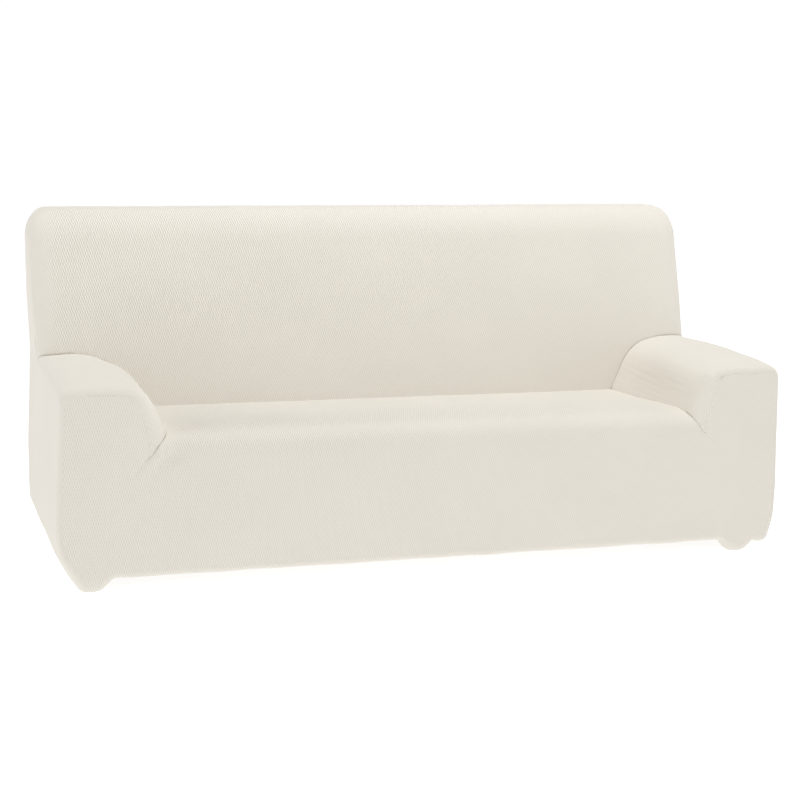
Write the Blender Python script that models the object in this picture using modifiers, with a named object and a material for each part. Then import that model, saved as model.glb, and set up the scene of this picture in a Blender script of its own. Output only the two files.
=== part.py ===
"""Stretch slipcover for a three-seat sofa: seven cloth panels, hollow and open underneath."""
import math

import bmesh
import bpy

# All lengths are in metres. The sizes are laid out from the middle of the front edge at the level
# of the floor (x to the right, y to the rear, z up). The empty "sofa_top" then moves the whole
# cover, so that its origin is the middle of the underside of the top of the back.

SHEET = 0.002               # thickness of the stretch knit
GAP = 0.0008                # between two panels along a seam
END_GAP = 0.003             # where the crest of an arm runs into the rolled end of the back

# overall form
DEPTH = 0.95
TOP_Z = 0.966               # top of the back
HEM_Z = 0.042               # lower edge of the cover
HEM_TURN = 0.060            # how far the hem is drawn in under the sofa
HEM_ROLL = 0.018            # radius of the fold at the lower edge
HEM_CORNER = 0.006          # least radius of the drawn-in edge at a corner
TUCK = 0.020                # how far a panel runs on behind the one that meets it in a crease

# half width of the cover at each height
SIDE_WIDTH = (
    # z, half width
    (0.00, 1.056),
    (0.10, 1.060),
    (0.22, 1.061),
    (0.35, 1.056),
    (0.53, 1.049),
    (0.70, 1.056),
    (0.88, 1.058),
    (1.00, 1.054),
)

# upright corners: radius above, and larger where the hem pulls the cloth in below
CORNER_FRONT = 0.026
CORNER_HEM = 0.034
CORNER_FADE = (0.04, 0.14)  # heights between which the radius changes

# the cloth dips over the tops of the sofa's feet
FOOT_X = 0.962
FOOT_IN = 0.050             # from the front and the rear edge
FOOT_DIP = 0.029
FOOT_SPREAD = 0.042
FOOT_FADE = 0.08            # height over which the dip dies out

# the left side is drawn in just above the hem, most of all at its front
DRAW_IN = 0.018
DRAW_LENGTH = 0.85
DRAW_FADE = (0.045, 0.16)   # heights between which this dies out

# leaning front face of the back, and the soft roll round its top, ends and rear
LEAN = 0.367                # metres to the rear for each metre up
FACE_Y = 0.635              # place of the face at LEAN_Z
LEAN_Z = 0.549
ROLL_X = 0.060              # roll at the ends, measured along x
ROLL_Y = 0.045              # roll at the front, measured along y
ROLL_Z = 0.085              # roll at the top, measured along z
ROLL_REAR = 0.040           # roll at the rear, measured along y

# seat
SEAT_ROLL = 0.050           # radius of the front edge of the seat
SEAT_MIDDLE = (
    # y, z: down the middle of the seat, behind its rolled front edge
    (0.050, 0.433),
    (0.120, 0.437),
    (0.250, 0.431),
    (0.400, 0.417),
    (0.580, 0.398),
)
SEAT_LINE = (
    # y, z: the crease between seat and arm, from the tip of the tuck to the rear
    (0.000, 0.374),
    (0.004, 0.394),
    (0.010, 0.404),
    (0.022, 0.416),
    (0.036, 0.423),
    (0.060, 0.428),
    (0.120, 0.431),
    (0.250, 0.421),
    (0.400, 0.409),
    (0.620, 0.396),
)
TUCK_END = (0.874, 0.321)   # x and z where the slanting tuck dies out on the front
TUCK_WIDTH = 0.006

# arms: cross section, from the outer seam over the crest and down the inner side
ARM_SEAM_Z = 0.527
ARM_OUTER = (
    # share of the way in and of the way up from the seam to the first row below
    (0.00, 0.00),
    (0.04, 0.33),
    (0.17, 0.63),
    (0.45, 0.88),
)
ARM_SECTION = (
    # x and z at the front, in the middle and at the rear
    (1.000, 0.566, 1.000, 0.576, 1.000, 0.559),
    (0.930, 0.568, 0.930, 0.577, 0.945, 0.557),
    (0.862, 0.565, 0.868, 0.570, 0.888, 0.544),
    (0.828, 0.553, 0.832, 0.551, 0.851, 0.524),
    (0.806, 0.519, 0.807, 0.519, 0.820, 0.497),
    (0.787, 0.460, 0.784, 0.459, 0.781, 0.439),
    (0.768, 0.400, 0.764, 0.400, 0.757, 0.395),
    (0.762, 0.350, 0.758, 0.350, 0.752, 0.350),
)
ARM_FRONT = (0.00, 0.14)    # from the front section to the middle one
ARM_REAR = (0.28, 0.62)     # from the middle section to the rear one
ARM_EDGE = (
    # row of the section, radius of its edge to the front face
    (0.0, 0.026),
    (2.0, 0.018),
    (8.0, 0.015),
    (10.0, 0.030),
    (12.0, 0.048),
)
ARM_LEFT = -0.012           # the seat's crease lies a little unevenly on the two sides
ARM_RIGHT = 0.006
ARM_SAG = 0.009             # the left crest sinks towards its outer rear end

# the knit
IVORY = (0.80, 0.77, 0.69, 1.0)
ROUGHNESS = 0.9

# faces along each stretch of a panel
CREST_STEPS = 8             # of the arm section, from the outer seam to the inner top corner
INNER_STEPS = 7             # of the arm section, from there down to the seat
SPLINE_STEPS = 6
EDGE_STEPS = 5              # round a rolled edge
ARM_STEPS = 7               # along an arm
SEAT_COLUMNS = 7            # from an arm to the middle of the seat
SEAT_ROWS = 7
BACK_COLUMNS = 4            # over an arm, and again from there to the middle of the back
BACK_ROWS = 7
TOP_ROWS = 2
UPPER_ROWS = 4              # from the arm seam to the top roll
SIDE_COLUMNS = (7, 4)       # below the arm, and below the end of the back


def clear_scene():
    for item in list(bpy.data.objects):
        bpy.data.objects.remove(item, do_unlink=True)
    for group in list(bpy.data.collections):
        bpy.data.collections.remove(group)


def mix(a, b, t):
    return a + (b - a) * t


def mix_points(p, q, t):
    return tuple(mix(a, b, t) for a, b in zip(p, q))


def smooth(low, high, value):
    t = min(1.0, max(0.0, (value - low) / (high - low)))
    return t * t * (3.0 - 2.0 * t)


def table(rows, value):
    """Value of a two-column table, with straight lines between its rows."""
    for (x0, y0), (x1, y1) in zip(rows, rows[1:]):
        if value <= x1:
            return mix(y0, y1, max(0.0, (value - x0) / (x1 - x0)))
    return rows[-1][1]


def spline(points):
    """Catmull-Rom curve through points."""
    ends = [points[0]] + list(points) + [points[-1]]
    curve = []
    for stretch in zip(ends, ends[1:], ends[2:], ends[3:]):
        for n in range(SPLINE_STEPS):
            t = n / SPLINE_STEPS
            curve.append(tuple(
                0.5 * (2 * b + (c - a) * t + (2 * a - 5 * b + 4 * c - d) * t ** 2
                       + (3 * b - a - 3 * c + d) * t ** 3)
                for a, b, c, d in zip(*stretch)))
    curve.append(tuple(points[-1]))
    return curve


def resample(curve, count):
    """Points at even distances along a curve."""
    lengths = [0.0]
    for a, b in zip(curve, curve[1:]):
        lengths.append(lengths[-1] + math.dist(a, b))
    result = []
    k = 0
    for n in range(count + 1):
        want = lengths[-1] * n / count
        while k < len(curve) - 2 and lengths[k + 1] < want:
            k += 1
        result.append(mix_points(curve[k], curve[k + 1],
                                 (want - lengths[k]) / (lengths[k + 1] - lengths[k])))
    return result


def patch(foot, head, left, right, u, v):
    """Point inside four edges: foot and head at u, left and right at v, with their corners."""
    across = mix_points(foot[u[0]], head[u[0]], v[1])
    up = mix_points(left[v[0]], right[v[0]], u[1])
    corners = mix_points(mix_points(foot[0], foot[-1], u[1]),
                         mix_points(head[0], head[-1], u[1]), v[1])
    return tuple(a + b - c for a, b, c in zip(across, up, corners))


# ---- forms that several panels share ----

def half_width(z):
    return table(SIDE_WIDTH, z)


def corner(z, radius, inset=0.0):
    """Radius of an upright corner at height z, where the cloth is drawn in by the inset."""
    return max(mix(CORNER_HEM, radius, smooth(*CORNER_FADE, z)), inset + HEM_CORNER)


def settle(x, y, z, inset):
    """The same place, lowered where the cloth lies over a foot and drawn in on the left side."""
    across = abs(x) - FOOT_X
    along = min(y, DEPTH - y) - FOOT_IN
    near = math.exp(-(across ** 2 + along ** 2) / (2 * FOOT_SPREAD ** 2))
    drawn = DRAW_IN * max(0.0, 1.0 - y / DRAW_LENGTH) * (1.0 - smooth(*DRAW_FADE, z))
    drawn *= smooth(0.3, 1.0, -x) * (1.0 - inset / HEM_TURN)
    return (x + drawn, y, z - FOOT_DIP * near * (1.0 - smooth(HEM_Z, HEM_Z + FOOT_FADE, z)))


def wall_rows():
    """Rows that all the outer walls share, as inset from the wall and height."""
    rows = [(HEM_TURN, HEM_Z + 0.004), (HEM_TURN * 0.6, HEM_Z + 0.001)]
    for n in range(4):
        angle = math.radians(90 * n / 3)
        rows.append((HEM_ROLL * (1 - math.sin(angle)), HEM_Z + HEM_ROLL * (1 - math.cos(angle))))
    for z in (0.09, 0.13, 0.18, 0.25, TUCK_END[1], SEAT_LINE[0][1]):
        rows.append((0.0, z))
    return rows


WALL = wall_rows()
LOW = len(WALL) - 1
SEAM_ROW = LOW + INNER_STEPS
BACK_SHOULDER = TOP_Z - ROLL_Z


def row_level(j):
    """Inset and height of row j of an outer wall, up to the shoulder of the back."""
    if j <= LOW:
        return WALL[j]
    if j <= SEAM_ROW:
        return 0.0, mix(WALL[LOW][1], ARM_SEAM_Z, (j - LOW) / INNER_STEPS)
    return 0.0, mix(ARM_SEAM_Z, BACK_SHOULDER - GAP, (j - SEAM_ROW) / UPPER_ROWS)


def lean_y(z):
    return FACE_Y + LEAN * (z - LEAN_Z)


def face_y(x, z):
    """Front of the back at that place, with its rolled ends."""
    into = max(0.0, (abs(x) - half_width(z)) / ROLL_X + 1.0)
    return lean_y(z) + ROLL_Y * (1.0 - math.sqrt(max(0.0, 1.0 - into ** 2)))


def arm_section(side, y, lowest):
    """Cross section of an arm at that depth, cut off at a height, as x and z of each row."""
    middle = smooth(*ARM_FRONT, y)
    rear = smooth(*ARM_REAR, y)
    shift = ARM_LEFT if side < 0 else ARM_RIGHT
    sag = ARM_SAG * rear if side < 0 else 0.0
    points = []
    for x0, z0, x1, z1, x2, z2 in ARM_SECTION:
        x = mix(mix(x0, x1, middle), x2, rear)
        z = mix(mix(z0, z1, middle), z2, rear) - sag * smooth(0.88, 1.0, x)
        points.append((x + shift * (1.0 - smooth(0.46, 0.56, z)), z))
    seam = (half_width(ARM_SEAM_Z), ARM_SEAM_Z + 2 * GAP)
    outer = [(mix(seam[0], points[0][0], a), mix(seam[1], points[0][1], b)) for a, b in ARM_OUTER]
    curve = spline(outer + points)
    turn = SPLINE_STEPS * (len(ARM_OUTER) + 2)
    inner = curve[turn:]
    while inner[-2][1] < lowest:
        inner.pop()
    inner[-1] = mix_points(inner[-2], inner[-1],
                           (inner[-2][1] - lowest) / (inner[-2][1] - inner[-1][1]))
    return resample(curve[:turn + 1], CREST_STEPS) + resample(inner, INNER_STEPS)[1:]


def arm_edge(section, row, angle, extra=0.0):
    """Place on the rounded edge of an arm's front, from 0 in the front face to 90 degrees."""
    x, z = section[row]
    before = section[max(0, row - 1)]
    after = section[min(len(section) - 1, row + 1)]
    size = math.dist(before, after)
    radius = table(ARM_EDGE, row)
    turned = (radius + extra) * (1.0 - math.sin(angle))
    inward = ((before[1] - after[1]) / size, (after[0] - before[0]) / size)
    if row == 0:
        inward = (-1.0, 0.0)
    inward = mix_points(inward, (1.0, 0.0), smooth(CREST_STEPS + 2, len(section) - 1, row))
    return (x + inward[0] * turned, radius * (1.0 - math.cos(angle)), z + inward[1] * turned)


def seat_edge(side, y):
    """Crease between seat and arm at that depth, as x and z."""
    z = table(SEAT_LINE, y)
    radius = ARM_EDGE[-1][1]
    x = arm_section(side, y, z)[-1][0] - GAP
    if y < radius:
        x += radius * (1.0 - math.sqrt(1.0 - (1.0 - y / radius) ** 2))
    return x, z


# ---- panels ----

def sheet(name, columns, rows, place, keep=None, turned=False):
    """A panel: a grid whose points are put in place, less the faces that are cut away."""
    bm = bmesh.new()
    bmesh.ops.create_grid(bm, x_segments=columns, y_segments=rows, size=0.5)
    index = {v: (round((v.co.x + 0.5) * columns), round((v.co.y + 0.5) * rows)) for v in bm.verts}
    if keep:
        cells = {f: (min(index[v][0] for v in f.verts), min(index[v][1] for v in f.verts))
                 for f in bm.faces}
        cut = [f for f in bm.faces if not keep(*cells[f])]
        bmesh.ops.delete(bm, geom=cut, context="FACES")
    for vert in bm.verts:
        vert.co = place(*index[vert])
    bmesh.ops.remove_doubles(bm, verts=bm.verts, dist=0.00002)
    if turned:
        bmesh.ops.reverse_faces(bm, faces=bm.faces)
    for face in bm.faces:
        face.smooth = True
    mesh = bpy.data.meshes.new(name)
    bm.to_mesh(mesh)
    bm.free()
    panel = bpy.data.objects.new(name, mesh)
    thickness = panel.modifiers.new("thickness", "SOLIDIFY")
    thickness.thickness = SHEET
    thickness.offset = -1.0
    thickness.use_even_offset = True
    return panel


def seat_front():
    """Seat, apron and the fronts of both arms in one cloth, slit along the two slanting tucks."""
    half = CREST_STEPS + 1 + SEAT_COLUMNS
    tip_z = SEAT_LINE[0][1]
    edges = {}
    for side in (-1, 1):
        section = arm_section(side, 0.0, tip_z)
        seam = [arm_edge(section, row, 0.0, GAP)[::2] for row in range(len(section))]
        head = [(x - END_GAP / 2, z - GAP) for x, z in seam[:CREST_STEPS + 1]]
        right = seam[CREST_STEPS:][::-1]
        right[0] = (right[0][0] + TUCK_WIDTH / 2, tip_z)
        right[-1] = head[-1]
        left = []
        for n in range(INNER_STEPS + 1):
            z = mix(tip_z, head[0][1], n / INNER_STEPS)
            left.append((half_width(z) - CORNER_FRONT - GAP, z))
        head[0] = left[-1]
        foot = [mix_points(left[0], right[0], n / CREST_STEPS) for n in range(CREST_STEPS + 1)]
        edges[side] = (foot, head, left, right)

    def apron_x(side, k, inset, z):
        """Place of column k across the front below the tip of the tuck."""
        outer = half_width(z) - corner(z, CORNER_FRONT, inset) - GAP
        tip = edges[side][0][-1][0]
        split = table(((TUCK_END[1], TUCK_END[0]), (tip_z, tip)), z)
        if k <= CREST_STEPS:
            return mix(outer, split, k / CREST_STEPS)
        seat = math.cos(math.radians(90 * (k - CREST_STEPS - 1) / SEAT_COLUMNS))
        return (split - TUCK_WIDTH) * seat

    def place(i, j):
        side = -1 if i <= half else 1
        k = i if side < 0 else 2 * half - i
        if j <= LOW:
            inset, z = WALL[j]
            return settle(side * apron_x(side, k, inset, z), inset, z, inset)
        if k <= CREST_STEPS:
            n = j - LOW
            x, z = patch(*edges[side], (k, k / CREST_STEPS), (n, n / INNER_STEPS))
            return (side * x, 0.0, z)
        n = j - LOW
        if n <= EDGE_STEPS:
            angle = math.radians(90 * n / EDGE_STEPS)
            y = SEAT_ROLL * (1.0 - math.cos(angle))
            middle_z = mix(tip_z, SEAT_MIDDLE[0][1], math.sin(angle))
        else:
            rear = face_y(0.0, SEAT_LINE[-1][1]) - GAP
            y = mix(SEAT_ROLL, rear, (n - EDGE_STEPS) / SEAT_ROWS)
            middle_z = table(SEAT_MIDDLE, y)
        edge_x, edge_z = seat_edge(side, y)
        seat = math.cos(math.radians(90 * (k - CREST_STEPS - 1) / SEAT_COLUMNS))
        return (side * edge_x * seat, y, mix(middle_z, edge_z, seat ** 10))

    def keep(i, j):
        k = i if i < half else 2 * half - 1 - i
        if k < CREST_STEPS:
            return j < SEAM_ROW
        return k > CREST_STEPS or j < LOW

    return sheet("seat_front", 2 * half, LOW + EDGE_STEPS + SEAT_ROWS, place, keep)


def arm(name, side):
    """Inner side, crest and rounded front edge of an arm."""
    sections = []
    for i in range(EDGE_STEPS + ARM_STEPS + 1):
        radius = ARM_EDGE[-1][1]
        if i <= EDGE_STEPS:
            y = radius * (1.0 - math.cos(math.radians(90 * i / EDGE_STEPS)))
        else:
            y = mix(radius, lean_y(SEAT_LINE[-1][1]), (i - EDGE_STEPS) / ARM_STEPS)
        behind = TUCK * smooth(radius, 3 * radius, y)
        sections.append(arm_section(side, y, table(SEAT_LINE, y) + GAP - behind))

    def place(i, j):
        section = sections[i]
        if i <= EDGE_STEPS:
            x, y, z = arm_edge(section, j, math.radians(90 * i / EDGE_STEPS))
        else:
            x, z = section[j]
            rear = face_y(x, z) - mix(END_GAP, GAP, smooth(3, 5, j))
            y = mix(table(ARM_EDGE, j), rear, (i - EDGE_STEPS) / ARM_STEPS)
        return (side * x, y, z)

    rows = CREST_STEPS + INNER_STEPS
    return sheet(name, EDGE_STEPS + ARM_STEPS, rows, place, turned=side < 0)


def side_panel(name, side):
    """Outer side of an arm, with its rounded front corner, and the end of the back above it."""
    front_end = EDGE_STEPS + SIDE_COLUMNS[0]
    last = front_end + SIDE_COLUMNS[1]

    def place(i, j):
        inset, z = row_level(j)
        width = half_width(z)
        radius = corner(z, CORNER_FRONT, inset)
        if i <= EDGE_STEPS:
            angle = math.radians(90 * i / EDGE_STEPS)
            x = width - radius + (radius - inset) * math.sin(angle)
            y = radius - (radius - inset) * math.cos(angle)
            return settle(side * x, y, z, inset)
        under_back = lean_y(max(z, ARM_SEAM_Z)) + ROLL_Y + GAP
        if i <= front_end:
            y = mix(radius, under_back, (i - EDGE_STEPS) / SIDE_COLUMNS[0])
        else:
            rear = DEPTH - corner(z, ROLL_REAR, inset) - GAP
            y = mix(under_back, rear, (i - front_end) / SIDE_COLUMNS[1])
        return settle(side * (width - inset), y, z, inset)

    def keep(i, j):
        return j < SEAM_ROW or i >= front_end

    return sheet(name, last, SEAM_ROW + UPPER_ROWS, place, keep, turned=side < 0)


def across_back(i, columns):
    """Column i of a panel across the back: side, angle of the rolled end, share of the middle."""
    side = -1 if i <= EDGE_STEPS + columns / 2 else 1
    k = i if side < 0 else 2 * EDGE_STEPS + columns - i
    angle = math.radians(90 * max(0, EDGE_STEPS - k) / EDGE_STEPS)
    return side, angle, max(0, k - EDGE_STEPS)


def back_foot(side, x):
    """Height at which the inside of the back meets the seat or an arm, at that place."""
    seat_z = SEAT_LINE[-1][1]
    section = arm_section(side, lean_y(seat_z), seat_z)
    if x <= section[-1][0]:
        return seat_z
    return table(section[::-1], x)


def inside_back():
    """Leaning front of the back, with the roll over its top and round its ends."""
    columns = 4 * BACK_COLUMNS
    rows = BACK_ROWS + EDGE_STEPS + TOP_ROWS + EDGE_STEPS
    over_arm = 0.24         # width of the stretch above an arm, inside the rolled end

    def place(i, j):
        side, end, k = across_back(i, columns)
        cos_end = math.cos(end)

        def out(z):
            flat = half_width(z) - ROLL_X
            if k <= BACK_COLUMNS:
                return flat - over_arm * k / BACK_COLUMNS + ROLL_X * math.sin(end)
            return (flat - over_arm) * (2.0 - k / BACK_COLUMNS)

        n = j - BACK_ROWS
        if n <= 0:
            x = out(ARM_SEAM_Z)
            foot = back_foot(side, x) + mix(-TUCK, END_GAP, smooth(0.92, 0.97, x))
            z = mix(foot, BACK_SHOULDER, j / BACK_ROWS)
            y = lean_y(z) + ROLL_Y * (1.0 - cos_end)
        elif n <= EDGE_STEPS:
            over = math.radians(90 * n / EDGE_STEPS)
            z = BACK_SHOULDER + ROLL_Z * math.sin(over) * cos_end
            y = lean_y(z) + ROLL_Y * (1.0 - math.cos(over) * cos_end)
        elif n <= EDGE_STEPS + TOP_ROWS:
            z = BACK_SHOULDER + ROLL_Z * cos_end
            y = mix(lean_y(z) + ROLL_Y, DEPTH - ROLL_REAR, (n - EDGE_STEPS) / TOP_ROWS)
        else:
            over = math.radians(90 * (n - EDGE_STEPS - TOP_ROWS) / EDGE_STEPS)
            z = BACK_SHOULDER + ROLL_Z * math.cos(over) * cos_end
            y = DEPTH - ROLL_REAR * (1.0 - math.sin(over) * cos_end)
        return (side * out(z), y, z)

    return sheet("inside_back", columns + 2 * EDGE_STEPS, rows, place)


def outside_back():
    """Rear of the cover, with its rounded upright corners."""
    columns = 2 * BACK_COLUMNS

    def place(i, j):
        side, end, k = across_back(i, columns)
        inset, z = row_level(j)
        radius_x = corner(z, ROLL_X, inset)
        radius_y = corner(z, ROLL_REAR, inset)
        inner_x = (half_width(z) - radius_x) * (1.0 - k / BACK_COLUMNS)
        x = inner_x + (radius_x - inset) * math.sin(end)
        y = DEPTH - radius_y + (radius_y - inset) * math.cos(end)
        return settle(side * x, y, z, inset)

    return sheet("outside_back", columns + 2 * EDGE_STEPS, SEAM_ROW + UPPER_ROWS, place,
                 turned=True)


def cloth(name):
    material = bpy.data.materials.new(name)
    material.use_nodes = True
    shader = material.node_tree.nodes["Principled BSDF"]
    shader.inputs["Base Color"].default_value = IVORY
    shader.inputs["Roughness"].default_value = ROUGHNESS
    shader.inputs["Metallic"].default_value = 0.0
    material.diffuse_color = IVORY
    return material


def main():
    clear_scene()
    cover = bpy.data.collections.new("sofa_slipcover")
    bpy.context.scene.collection.children.link(cover)
    top = bpy.data.objects.new("sofa_top", None)
    top.location = (0.0, -(lean_y(TOP_Z) + DEPTH) / 2, -(TOP_Z - SHEET))
    cover.objects.link(top)
    panels = [
        seat_front(),
        inside_back(),
        outside_back(),
        arm("arm_left", -1),
        arm("arm_right", 1),
        side_panel("side_left", -1),
        side_panel("side_right", 1),
    ]
    for panel in panels:
        cover.objects.link(panel)
        panel.parent = top
        panel.data.materials.append(cloth(panel.name + "_knit"))


main()
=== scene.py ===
import math

import bmesh
import bpy
from mathutils import Matrix, Vector, noise


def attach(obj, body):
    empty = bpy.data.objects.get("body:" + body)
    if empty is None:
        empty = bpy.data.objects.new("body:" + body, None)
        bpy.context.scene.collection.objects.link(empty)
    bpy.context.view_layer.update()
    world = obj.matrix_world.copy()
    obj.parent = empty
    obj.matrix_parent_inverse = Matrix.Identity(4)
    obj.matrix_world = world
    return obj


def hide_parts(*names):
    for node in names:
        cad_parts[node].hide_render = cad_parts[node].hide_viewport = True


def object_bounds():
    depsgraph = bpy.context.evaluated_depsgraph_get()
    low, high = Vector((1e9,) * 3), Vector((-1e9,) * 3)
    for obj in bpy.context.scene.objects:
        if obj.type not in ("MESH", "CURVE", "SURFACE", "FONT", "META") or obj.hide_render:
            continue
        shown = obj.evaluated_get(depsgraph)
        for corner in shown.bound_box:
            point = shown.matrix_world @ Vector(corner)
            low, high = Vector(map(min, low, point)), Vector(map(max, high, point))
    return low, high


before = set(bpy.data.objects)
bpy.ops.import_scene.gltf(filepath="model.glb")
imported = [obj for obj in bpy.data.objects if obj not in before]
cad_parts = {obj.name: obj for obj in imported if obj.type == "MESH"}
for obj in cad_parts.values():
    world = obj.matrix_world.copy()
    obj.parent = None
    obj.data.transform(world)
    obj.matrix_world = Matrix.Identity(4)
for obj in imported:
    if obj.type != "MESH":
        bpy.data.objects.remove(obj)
cadLow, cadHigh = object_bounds()

# Metres throughout. The cover is laid out from the middle of its front edge at the level of the
# floor, x to the right, y to the rear, z up. makePanel moves it to the frame's origin at the end.
# Where a setting is a pair named after an axis, something fades in or out between those two places.
# Where it has -1 and 1, these stand for the left side and the right.
cover = {
    "depth": 0.95,
    "topZ": 0.966,
    "cloth": 0.0016,                # thickness of the knit
    "gap": 0.0001,                  # between two panels along a seam
    "tuck": 0.020,                  # how far a panel runs on behind the one in front of it
    "seamDip": 0.0018,              # how far the cloth dips into a seam that shows
    "seamRings": (1.0, 0.55, 0.12),     # share of that dip at each ring of points from the seam
    "seamStops": (0.12, 0.45),      # extra rows beside a seam, in shares of a step
    "weld": 0.00002,                # points that lie closer than this are one point
    "ripple": ((0.0011, 5.0), (0.0004, 13.0)),      # height of unevenness, and lumps to the metre
    "cornerFront": 0.014,
    "sideWidth": (                  # z, half width
        (0.00, 1.056), (0.10, 1.060), (0.22, 1.061), (0.35, 1.056), (0.53, 1.049), (0.70, 1.056),
        (0.88, 1.058), (1.00, 1.054),
    ),
}
shift = Vector((0.0, cadLow.y, cadHigh.z - cover["topZ"]))
arcMore = 0.57                      # a quarter arc is longer than its radius by this share of it


def mix(a, b, t):
    return a + (b - a) * t


def mixPoints(p, q, t):
    return tuple(mix(a, b, t) for a, b in zip(p, q))


def smooth(low, high, value):       # from 0 to 1 between two values
    t = min(1.0, max(0.0, (value - low) / (high - low)))
    return t * t * (3.0 - 2.0 * t)


def fall(low, high, value):         # from 1 to 0
    return 1.0 - smooth(low, high, value)


def bell(distance, width):
    return math.exp(-(distance / width) ** 2)


def quarter(share):                 # that share of a right angle
    return math.radians(90 * share)


def sideOf(x):
    return -1 if x < 0 else 1


def table(rows, value):             # straight lines between the rows of a two-column table
    for (x0, y0), (x1, y1) in zip(rows, rows[1:]):
        if value <= x1:
            return mix(y0, y1, max(0.0, (value - x0) / (x1 - x0)))
    return rows[-1][1]


def spline(points, steps):          # Catmull-Rom curve
    ends = [points[0]] + list(points) + [points[-1]]
    curve = []
    for stretch in zip(ends, ends[1:], ends[2:], ends[3:]):
        for n in range(steps):
            t = n / steps
            curve.append(tuple(
                0.5 * (2 * b + (c - a) * t + (2 * a - 5 * b + 4 * c - d) * t ** 2
                       + (3 * b - a - 3 * c + d) * t ** 3)
                for a, b, c, d in zip(*stretch)))
    curve.append(tuple(points[-1]))
    return curve


def runs(points, start=0.0):        # length from the first point to each
    lengths = [start]
    for a, b in zip(points, points[1:]):
        lengths.append(lengths[-1] + math.dist(a, b))
    return lengths


def along(curve, shares):           # points at given shares of a curve's length
    lengths = runs(curve)
    result = []
    k = 0
    for share in shares:
        want = lengths[-1] * share
        while k < len(curve) - 2 and lengths[k + 1] < want:
            k += 1
        result.append(mixPoints(curve[k], curve[k + 1],
                                (want - lengths[k]) / (lengths[k + 1] - lengths[k])))
    return result


def steady(count):                  # even shares from 0 to 1
    return [n / count for n in range(count + 1)]


def stops(count, first=False, last=False):
    # the same, with close extra ones beside an edge that is sewn
    shares = steady(count)
    if first:
        shares[1:1] = [stop / count for stop in cover["seamStops"]]
    if last:
        shares[-1:-1] = [1.0 - stop / count for stop in reversed(cover["seamStops"])]
    return shares


def joined(*stretches):             # (stretch number, share) for stops that follow on each other
    result = []
    for n, shares in enumerate(stretches):
        result += [(n, share) for share in (shares if n == 0 else shares[1:])]
    return result


def addObject(name, data):
    thing = bpy.data.objects.new(name, data)
    bpy.context.scene.collection.objects.link(thing)
    return thing


# the hem and the upright corners
hem = {
    "z": 0.042,
    "turn": 0.060,                  # drawn in under the sofa
    "roll": 0.018,
    "rise": 0.004,                  # of the drawn-in edge
    "edgeCorner": 0.006,            # least radius of the drawn-in edge at a corner
    "corner": 0.034,                # radius of the upright corners down at the hem
    "cornerZ": (0.04, 0.14),
    "footX": {-1: 0.970, 1: 0.945},     # the cloth dips over the tops of the feet
    "footIn": 0.030,
    "footDip": 0.037,
    "footSpread": 0.048,
    "footFade": 0.08,
    "drawIn": {-1: 0.018, 1: 0.0},      # the left side is drawn in above the hem
    "drawLength": 0.85,
    "drawX": (0.3, 1.0),
    "drawZ": (0.045, 0.16),
    "nip": {-1: 0.028, 1: 0.009},       # how far the front corners are drawn in at the hem
    "nipLength": 0.13,
    "nipX": (0.90, 1.04),
    "nipZ": (0.03, 0.11),
    "droop": {-1: 0.020, 1: 0.011},     # and how far they hang down
    "droopX": (0.95, 1.02),
    "droopY": (0.04, 0.20),
    "wave": 0.0020,                 # the lower edge isn't quite straight
    "waveCount": 9.0,               # to the metre
    "waveStart": 4.0,
}


def halfWidth(z):
    return table(cover["sideWidth"], z)


def corner(z, radius, inset=0.0):   # radius of an upright corner at height z
    return max(mix(hem["corner"], radius, smooth(*hem["cornerZ"], z)), inset + hem["edgeCorner"])


def settle(x, y, z, inset):
    # the same place, drawn in near the hem and lowered where the cloth lies over a foot
    side = sideOf(x)
    drawn = hem["drawIn"][side] * max(0.0, 1.0 - y / hem["drawLength"])
    drawn *= fall(*hem["drawZ"], z) * (1.0 - inset / hem["turn"])
    nipped = hem["nip"][side] * bell(y, hem["nipLength"])
    nipped *= smooth(*hem["nipX"], abs(x)) * fall(*hem["nipZ"], z)
    x -= side * (drawn * smooth(*hem["drawX"], abs(x)) + nipped)
    across = abs(x) - hem["footX"][side]
    deep = min(y, cover["depth"] - y) - hem["footIn"]
    near = math.exp(-((across ** 2 + deep ** 2) / hem["footSpread"] ** 2) ** 2)
    droop = hem["droop"][side] * smooth(*hem["droopX"], abs(x)) * fall(*hem["droopY"], y)
    spot = Vector((x * hem["waveCount"], y * hem["waveCount"], hem["waveStart"]))
    wave = hem["wave"] * noise.noise(spot)
    fade = fall(hem["z"], hem["z"] + hem["footFade"], z)
    return (x, y, z - (max(hem["footDip"] * near, droop) + wave) * fade)


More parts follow.
